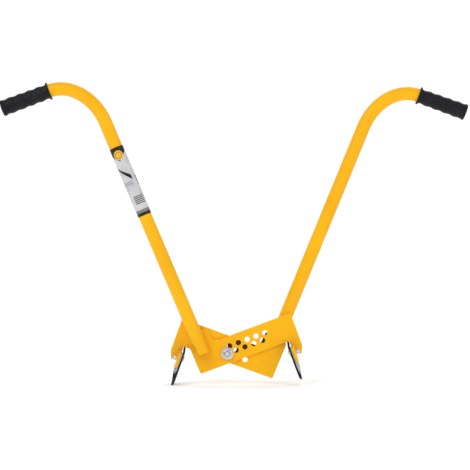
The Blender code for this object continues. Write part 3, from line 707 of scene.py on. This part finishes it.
# %% Hexagons, washers and screws
def hexagon(name, across, height, origin, axis, bore=0.0, collar=None):
    """radius(t, h) = min(across / 2 / cos(t from the nearest flat), chamfer cone at h)."""
    flat, corner = across / 2, across / math.sqrt(3)
    turn = np.linspace(0, 2 * math.pi, 144, endpoint=False)
    from_flat = (turn + math.pi / 6) % (math.pi / 3) - math.pi / 6
    hexagonal = flat / np.cos(from_flat)
    rise = (corner - flat * 0.95) * math.tan(math.radians(30))
    heights = np.concatenate([np.linspace(0, rise, 7), np.linspace(rise, height - rise, 5)[1:],
                              np.linspace(height - rise, height, 7)[1:]])
    cone = flat * 0.95 + np.minimum(heights, height - heights) / math.tan(math.radians(30))
    radius = np.minimum(hexagonal[None], cone[:, None])
    rows = [np.full_like(turn, bore)[None], radius]
    levels = [[0.0], heights]
    if collar:
        collar_radius, top, ring_radius = collar
        for r, h in ([(collar_radius + 0.5 * MM, height), (collar_radius, height + 0.5 * MM)]
                     + arc(collar_radius - 1.3 * MM, top - 1.3 * MM, 1.3 * MM, 0, 90)
                     + [(ring_radius, top), (ring_radius, top - 1.0 * MM)]):
            rows.append(np.full_like(turn, r)[None])
            levels.append([h])
        height = top - 1.0 * MM
    rows.append(np.full_like(turn, bore)[None])
    levels.append([height])
    if bore > 0:
        rows.append(np.full_like(turn, bore)[None])
        levels.append([0.0])
    radius, level_at = np.concatenate(rows), np.concatenate(levels)
    axis, first, second = cross_axes(axis)
    around = np.cos(turn)[:, None] * first + np.sin(turn)[:, None] * second
    points = origin + level_at[:, None, None] * axis + radius[..., None] * around[None]
    return grid_piece(name, points, smooth_angle=22)


def washer(name, outer, inner, height, origin, axis):
    """A punched washer: the die leaves its upper rim rolled over and its lower rim sharp."""
    ease = 0.35 * MM
    profile = ([(inner, 0), (outer - 0.1 * MM, 0), (outer, 0.1 * MM)]
               + arc(outer - ease, height - ease, ease, 0, 90)
               + arc(inner + ease, height - ease, ease, 90, 180) + [(inner, 0)])
    return turned(name, profile, origin, axis, steps=72)


def thread_profile(radius, start, end, pitch):
    """A shank whose last stretch carries ring-shaped thread crests, as (radius, height) pairs."""
    height = np.arange(start, end, pitch / 4)
    depth = 0.30 * pitch * (1 - np.abs(((height - start) / pitch) % 1.0 * 2 - 1))
    return list(zip(radius - depth, height))


# %% [markdown]
# ## Pivot
#
# One M10 bolt holds the arms together: its head at the back, a broad washer on each side and a
# locking nut at the front, the kind with a nylon ring, so the joint can stay free without coming
# undone.

# %% Pivot pieces
FACE = GAP / 2 + PLATE
WASHER_RADIUS, WASHER_THICK = 12.2 * MM, 2.0 * MM
BOLT_RADIUS, BOLT_ACROSS = 5 * MM, 17 * MM
NUT_HEIGHT, COLLAR_RADIUS, COLLAR_TOP = 8 * MM, 7.4 * MM, 11.2 * MM
HEAD_HEIGHT, BOLT_END, RING_BORE, RING_RADIUS = 6.4 * MM, 2.2 * MM, 5.05 * MM, 6.0 * MM
SEAT = FACE + 2 * GAP + WASHER_THICK


def make_pivot():
    out = {"front": np.array([0.0, -1.0, 0.0]), "rear": np.array([0.0, 1.0, 0.0])}
    for tag, axis in out.items():
        piece = washer("pivot_" + tag + "_washer", WASHER_RADIUS, BOLT_RADIUS + GAP, WASHER_THICK,
                       PIVOT + axis * (FACE + GAP), axis)
        dress(piece, ZINC, "front_arm", "pivot_washer_" + tag)
    nut_at = PIVOT + out["front"] * (SEAT + GAP)
    nut = hexagon("pivot_lock_nut", BOLT_ACROSS, NUT_HEIGHT, nut_at, out["front"],
                  bore=BOLT_RADIUS + GAP, collar=(COLLAR_RADIUS, COLLAR_TOP, RING_RADIUS + 0.4 * MM))
    dress(nut, ZINC, "front_arm", "pivot_nut")
    ring_at = PIVOT + out["front"] * (SEAT + GAP + COLLAR_TOP - 2.9 * MM)
    profile = [(RING_BORE, 0), (RING_RADIUS, 0), (RING_RADIUS, 2.2 * MM), (RING_RADIUS - 0.4 * MM, 2.6 * MM),
               (RING_BORE, 2.4 * MM), (RING_BORE, 0)]
    ring = turned("pivot_lock_ring", profile, ring_at, out["front"])
    dress(ring, NYLON, "front_arm", "pivot_nut_ring")
    head = hexagon("pivot_bolt_head", BOLT_ACROSS, HEAD_HEIGHT, PIVOT + out["rear"] * SEAT, out["rear"])
    dress(head, ZINC, "front_arm", "pivot_bolt")
    length = 2 * SEAT + GAP + COLLAR_TOP + BOLT_END
    profile = [(0, -1 * MM), (BOLT_RADIUS, -1 * MM)]
    profile += thread_profile(BOLT_RADIUS, 12 * MM, length - 1.2 * MM, 1.5 * MM)
    profile += [(BOLT_RADIUS - 1.0 * MM, length), (0, length)]
    shank = turned("pivot_bolt_shank", profile, PIVOT + out["rear"] * SEAT, out["front"])
    dress(shank, ZINC, "front_arm")


make_pivot()

# %% [markdown]
# ## Jaws
#
# From the stone outwards a jaw is: a rubber pad whose top edge leans back, a thin sheet with a lip
# along each side, and a painted cross plate welded to the arm's finger.  Two low-headed screws and
# their nuts clamp the three together, so the rubber can be renewed.

# %% Jaw sizes
PAD_THICK, PAD_WIDTH, PAD_TOP, PAD_BOTTOM = 3.4 * MM, 56 * MM, -0.7 * MM, -78.4 * MM
PAD_BEND, PAD_BEND_OUT, SHEET_THICK, LIP_DEPTH = 12 * MM, 3 * MM, 1.0 * MM, 7.4 * MM
JAW_PLATE_THICK, JAW_TOP, JAW_BOTTOM, JAW_WIDTH = 6.5 * MM, -13 * MM, -43.5 * MM, 52 * MM
SHEET_S = PAD_FACE + PAD_THICK + GAP
JAW_S = SHEET_S + SHEET_THICK + GAP
JAW_OUTER = JAW_S + JAW_PLATE_THICK
SCREW_N, SCREW_SPREAD, SCREW_RADIUS = -24 * MM, 16.5 * MM, 3 * MM
SCREW_HEAD_RADIUS, SCREW_HEAD_HEIGHT, SCREW_HEAD_RIM, SCREW_END = 5.6 * MM, 3.2 * MM, 0.6 * MM, 2 * MM
DISC_RADIUS, DISC_THICK, SCREW_NUT_ACROSS, SCREW_NUT_HEIGHT = 6.2 * MM, 1.2 * MM, 10 * MM, 5 * MM


# %% Pad, backing and cross plate
def make_pad(arm):
    outer = PAD_FACE + PAD_THICK
    corners = [(PAD_FACE, PAD_BOTTOM + 5 * MM, 4 * MM), (PAD_FACE, PAD_TOP - PAD_BEND, 10 * MM),
               (PAD_FACE + PAD_BEND_OUT, PAD_TOP, 1 * MM), (outer + PAD_BEND_OUT, PAD_TOP, 1 * MM),
               (outer, PAD_TOP - PAD_BEND, 10 * MM), (outer, PAD_BOTTOM, 0.3 * MM),
               (outer - 1.2 * MM, PAD_BOTTOM, 0.4 * MM)]
    half = PAD_WIDTH / 2
    pad = flat_piece(arm.jaw + "_rubber_pad", arm, [rounded(corners)], -half, half, 0.15 * MM)
    return dress(pad, RUBBER, arm.body, arm.jaw + "_jaw_pad")


def make_backing(arm):
    """Sheet and lips are one channel: its profile runs along n while the lips' depth falls away."""
    n = np.linspace(PAD_TOP - PAD_BEND - 1 * MM, PAD_BOTTOM + 0.5 * MM, 60)
    below = np.clip((JAW_BOTTOM - 0.6 * MM - n) / (5 * MM), 0, 1)
    fall = np.clip((n - PAD_BOTTOM) / (JAW_BOTTOM - PAD_BOTTOM), 0, 1)
    depth = np.clip(below, 0.02, 1) * (0.4 * MM + (LIP_DEPTH - 0.4 * MM) * fall ** 1.5)
    half, wall = PAD_WIDTH / 2, SHEET_THICK
    inner, outer = np.full_like(n, SHEET_S), np.full_like(n, SHEET_S + SHEET_THICK)
    lip = outer + depth
    section = [(inner, -half), (lip, -half), (lip, -half + wall), (outer, -half + wall),
               (outer, half - wall), (lip, half - wall), (lip, half), (inner, half)]
    rings = np.stack([arm.place(s, y, n) for s, y in section], axis=1)
    ends = [np.broadcast_to(rings[k].mean(axis=0), rings[k].shape)[None] for k in (0, -1)]
    grid = np.concatenate([ends[0], rings, ends[1]])
    return dress(grid_piece(arm.jaw + "_backing_sheet", grid, smooth_angle=25), SHEET, arm.body,
                 arm.jaw + "_jaw_backing")


def make_cross_plate(arm):
    corners = [(JAW_S, JAW_BOTTOM, 0.6 * MM), (JAW_OUTER, JAW_BOTTOM, 1.2 * MM),
               (JAW_OUTER, JAW_TOP, 1.2 * MM), (JAW_S, JAW_TOP, 0.6 * MM)]
    plate = flat_piece(arm.jaw + "_cross_plate", arm, [rounded(corners)], -JAW_WIDTH / 2, JAW_WIDTH / 2)
    return dress(plate, PAINT, arm.body, arm.jaw + "_jaw_plate")


def finger_welds(arm):
    for tag, side in (("front", -1), ("rear", 1)):
        near, far = sorted((arm.layer * GAP / 2, arm.layer * (GAP / 2 + PLATE)))
        y = (near if side < 0 else far) + side * 1.0 * MM
        corners = [(FINGER_INNER + 0.6 * MM, y, -15 * MM), (FINGER_INNER + 0.6 * MM, y, -28 * MM)]
        weld_bead(arm.jaw + "_finger_weld_" + tag, arm, corners, 2.4 * MM, (0, 1, 0), 1.0)


# %% Pad screws
def make_pad_screws(arm):
    outward = arm.turn(1, 0, 0)
    for tag, y in (("front", -SCREW_SPREAD), ("rear", SCREW_SPREAD)):
        seat = PAD_FACE + GAP
        end = JAW_OUTER + 2 * GAP + DISC_THICK + SCREW_NUT_HEIGHT + SCREW_END - seat
        turn = np.linspace(math.pi / 2, 0, 12)
        rise = (SCREW_HEAD_HEIGHT - SCREW_HEAD_RIM) * np.sin(turn)
        dome = list(zip(SCREW_HEAD_RADIUS * np.cos(turn), -SCREW_HEAD_RIM - rise))
        profile = dome + [(SCREW_HEAD_RADIUS, 0), (SCREW_RADIUS, 0)]
        profile += thread_profile(SCREW_RADIUS, 8 * MM, end - 0.8 * MM, 1.0 * MM)
        profile += [(SCREW_RADIUS - 0.7 * MM, end), (0, end)]
        origin = arm.place(seat, y, SCREW_N)
        dress(turned(f"{arm.jaw}_pad_screw_{tag}", profile, origin, outward), ZINC, arm.body,
              f"{arm.jaw}_pad_bolt_{tag}")
        disc = washer(f"{arm.jaw}_screw_washer_{tag}", DISC_RADIUS, SCREW_RADIUS + GAP, DISC_THICK,
                      arm.place(JAW_OUTER + GAP, y, SCREW_N), outward)
        dress(disc, ZINC, arm.body, f"{arm.jaw}_pad_washer_{tag}")
        nut_at = arm.place(JAW_OUTER + 2 * GAP + DISC_THICK, y, SCREW_N)
        nut = hexagon(f"{arm.jaw}_screw_nut_{tag}", SCREW_NUT_ACROSS, SCREW_NUT_HEIGHT, nut_at, outward,
                      bore=SCREW_RADIUS + 0.05 * MM)
        dress(nut, ZINC, arm.body, f"{arm.jaw}_pad_nut_{tag}")


for arm in (FRONT, REAR):
    make_pad(arm)
    make_backing(arm)
    make_cross_plate(arm)
    finger_welds(arm)
    make_pad_screws(arm)

# %% [markdown]
# ## The sticker
#
# The left tube carries a wrapped paper label.  It is a thin sleeve with its own UV map: u runs
# round the tube and v runs up it, so the print is drawn with simple rules on u and v.  It has dark
# end bands, a plain disc, a sweeping dark stroke and grey panels, and no mark or lettering at all.

# %% Label surface
LABEL_FROM, LABEL_TO = 335 * MM, 480.5 * MM
LABEL_RADIUS = TUBE_RADIUS + GAP + 0.35 * MM
LABEL_LENGTH, LABEL_ROUND = LABEL_TO - LABEL_FROM, 2 * math.pi * LABEL_RADIUS


def make_label(arm):
    """A tube sleeve; u = turn / full turn measured from the front, v = height / length."""
    rows, steps = 60, 97
    v = np.linspace(0, 1, rows)
    n = LABEL_FROM + LABEL_LENGTH * v
    centre = arm.place(axis_at(n), arm.layer * TUBE_DEPTH, n)
    right, front = arm.turn(math.cos(TUBE_LEAN), 0, math.sin(TUBE_LEAN)), np.array([0.0, -1.0, 0.0])
    turn = np.linspace(-math.pi, math.pi, steps)
    around = np.cos(turn)[:, None] * front + np.sin(turn)[:, None] * right
    outer = centre[:, None] + LABEL_RADIUS * around[None]
    skirt = centre[:, None] + (TUBE_RADIUS + 0.02 * MM) * around[None]
    points = np.concatenate([skirt[:1], outer, skirt[-1:]])
    vv = np.concatenate([[0], v, [1]])
    faces = grid_faces(len(vv), steps, wrap_columns=False)
    mesh = bpy.data.meshes.new("tube_sticker")
    mesh.from_pydata(points.reshape(-1, 3), [], faces.tolist())
    u_of = np.broadcast_to((turn + math.pi) / (2 * math.pi), (len(vv), steps)).ravel()
    v_of = np.broadcast_to(vv[:, None], (len(vv), steps)).ravel()
    loops = np.empty(len(mesh.loops), dtype=int)
    mesh.loops.foreach_get("vertex_index", loops)
    layer = mesh.uv_layers.new(name="print")
    layer.data.foreach_set("uv", np.stack([u_of[loops], v_of[loops]], axis=1).ravel())
    body = bmesh.new()
    body.from_mesh(mesh)
    bmesh.ops.remove_doubles(body, verts=body.verts, dist=WELD_DISTANCE)
    bmesh.ops.recalc_face_normals(body, faces=body.faces)
    middle = Vector(centre[rows // 2])
    outward = sum(face.normal.dot(face.calc_center_median() - middle) for face in body.faces)
    if outward < 0:
        bmesh.ops.reverse_faces(body, faces=body.faces)
    body.to_mesh(mesh)
    body.free()
    mesh.shade_smooth()
    mesh.set_sharp_from_angle(angle=math.radians(40))
    obj = bpy.data.objects.new("tube_sticker", mesh)
    bpy.context.scene.collection.objects.link(obj)
    print("label", round(LABEL_LENGTH / MM), "mm long,", round(LABEL_ROUND / MM), "mm round")
    return obj


# %% Label print
def make_print():
    """The sticker's ink: every shape is a rule on u (0.5 faces the front) and v."""
    material, tree, shader, place = new_finish("printed_film", 0.34, coat=0.1, specular=0.25)
    uv = tree.nodes.new("ShaderNodeUVMap")
    uv.uv_map = "print"
    split = tree.nodes.new("ShaderNodeSeparateXYZ")
    tree.links.new(uv.outputs["UV"], split.inputs["Vector"])
    u, v = split.outputs["X"], split.outputs["Y"]
    across = times(tree, minus(tree, u, 0.5), LABEL_ROUND)
    along = times(tree, v, LABEL_LENGTH)
    ground = ramp(tree, noise(tree, place, 35.0, 2.0), [(0.3, (0.50, 0.50, 0.51)), (0.7, (0.66, 0.66, 0.67))])
    panel = times(tree, between(tree, v, 0.44, 0.50), between(tree, u, 0.30, 0.56))
    colour = mix(tree, panel, ground, (0.40, 0.40, 0.47))
    second = times(tree, between(tree, v, 0.38, 0.43), between(tree, u, 0.30, 0.42))
    colour = mix(tree, second, colour, (0.50, 0.50, 0.53))
    bars = times(tree, between(tree, v, 0.16, 0.29), between(tree, u, 0.42, 0.66))
    stripe = over(tree, calc(tree, 'SINE', times(tree, v, 260.0)), -0.25)
    colour = mix(tree, times(tree, bars, stripe), colour, (0.09, 0.09, 0.09))
    bend = plus(tree, 0.555, times(tree, minus(tree, 0.56, u), 0.62))
    stroke = calc(tree, 'ABSOLUTE', minus(tree, v, bend))
    width = times(tree, minus(tree, u, 0.16), 0.085)
    sweep_mask = times(tree, under(tree, stroke, width), between(tree, u, 0.22, 0.575))
    colour = mix(tree, sweep_mask, colour, (0.006, 0.006, 0.006))
    far = times(tree, between(tree, u, 0.68, 0.86), between(tree, v, 0.42, 0.56))
    colour = mix(tree, far, colour, (0.02, 0.018, 0.008))
    from_dip = calc(tree, 'ABSOLUTE', minus(tree, u, 0.47))
    top_edge = plus(tree, 0.80, times(tree, from_dip, 0.55))
    colour = mix(tree, over(tree, v, top_edge), colour, (0.014, 0.011, 0.006))
    dx = plus(tree, across, 0.0012)
    dy = minus(tree, along, 0.885 * LABEL_LENGTH)
    radius = calc(tree, 'SQRT', plus(tree, times(tree, dx, dx), times(tree, dy, dy)))
    colour = mix(tree, under(tree, radius, 0.0098), colour, (0.83, 0.46, 0.05))
    ring = times(tree, under(tree, radius, 0.0068), over(tree, radius, 0.0052))
    colour = mix(tree, ring, colour, (0.42, 0.22, 0.01))
    colour = mix(tree, under(tree, v, 0.045), colour, (0.014, 0.012, 0.010))
    colour = mix(tree, between(tree, v, 0.045, 0.085), colour, (0.20, 0.20, 0.20))
    tree.links.new(colour, shader.inputs["Base Color"])
    tree.links.new(level(tree, noise(tree, place, 120.0, 3.0), 0.20, 0.34), shader.inputs["Roughness"])
    bump(tree, shader, noise(tree, place, 180.0, 2.0), 0.08, 0.0004)
    return material


label = make_label(FRONT)
dress(label, make_print(), "front_arm", "tube_label", slot="sticker")

# %% [markdown]
# ## Stage, light and camera
#
# The tool stands on a pale sweep: a floor that curves up into a wall, so from the front there is no
# horizon.  Three broad soft lights and a bright room leave only faint shadows.

# %% Sweep
def make_stage():
    """A strip whose profile is a floor, a quarter circle and a wall."""
    turn = np.linspace(0, math.pi / 2, 24)
    depth = np.concatenate([[-6.0], 2.2 + 1.2 * np.sin(turn), [3.4]])
    height = np.concatenate([[0.0], 1.2 - 1.2 * np.cos(turn), [5.0]])
    x = np.linspace(-8, 8, 3)
    points = np.stack(np.broadcast_arrays(x, depth[:, None], height[:, None]), axis=-1)
    mesh = bpy.data.meshes.new("pale_sweep")
    mesh.from_pydata(points.reshape(-1, 3), [], grid_faces(len(depth), 3, wrap_columns=False).tolist())
    mesh.shade_smooth()
    obj = bpy.data.objects.new("pale_sweep", mesh)
    bpy.context.scene.collection.objects.link(obj)
    material, tree, shader, place = new_finish("sweep_paper", 0.9)
    colour = ramp(tree, noise(tree, place, 1.5, 2.0), [(0.3, (0.90, 0.90, 0.90)), (0.7, (0.92, 0.92, 0.92))])
    tree.links.new(colour, shader.inputs["Base Color"])
    shader.inputs["Emission Color"].default_value = (1.0, 1.0, 1.0, 1.0)
    shader.inputs["Emission Strength"].default_value = 0.22
    mesh.materials.append(material)


def add_light(name, place, target, size, power):
    lamp = bpy.data.lights.new(name, 'AREA')
    lamp.shape, lamp.size, lamp.energy = 'DISK', size, power
    obj = bpy.data.objects.new(name, lamp)
    obj.location = place
    obj.rotation_euler = (Vector(target) - Vector(place)).to_track_quat('-Z', 'Y').to_euler()
    bpy.context.scene.collection.objects.link(obj)


def make_world(strength):
    world = bpy.data.worlds.new("bright_room")
    world.use_nodes = True
    world.node_tree.nodes["Background"].inputs["Color"].default_value = (1.0, 1.0, 1.0, 1.0)
    world.node_tree.nodes["Background"].inputs["Strength"].default_value = strength
    bpy.context.scene.world = world


CAMERA_DISTANCE, FRAME_WIDTH, AIM_HEIGHT = 3.5, 0.9375, 0.298


def make_camera():
    """Level and square on, far enough back that the two sides look alike."""
    data = bpy.data.cameras.new("camera")
    data.lens = data.sensor_width * CAMERA_DISTANCE / FRAME_WIDTH
    data.clip_end = 50
    camera = bpy.data.objects.new("camera", data)
    camera.location = (0.0, -CAMERA_DISTANCE, AIM_HEIGHT)
    camera.rotation_euler = (math.pi / 2, 0, 0)
    bpy.context.scene.collection.objects.link(camera)
    bpy.context.scene.camera = camera


make_stage()
LIT_POINT = (0, 0, 0.3)
add_light("key", (-1.6, -2.6, 2.6), LIT_POINT, 1.8, 40)
add_light("fill", (2.4, -2.2, 1.4), LIT_POINT, 2.2, 13)
add_light("back", (0.4, 2.0, 2.6), LIT_POINT, 2.0, 12)
make_world(0.62)
make_camera()
bpy.context.scene.view_settings.view_transform = 'Standard'
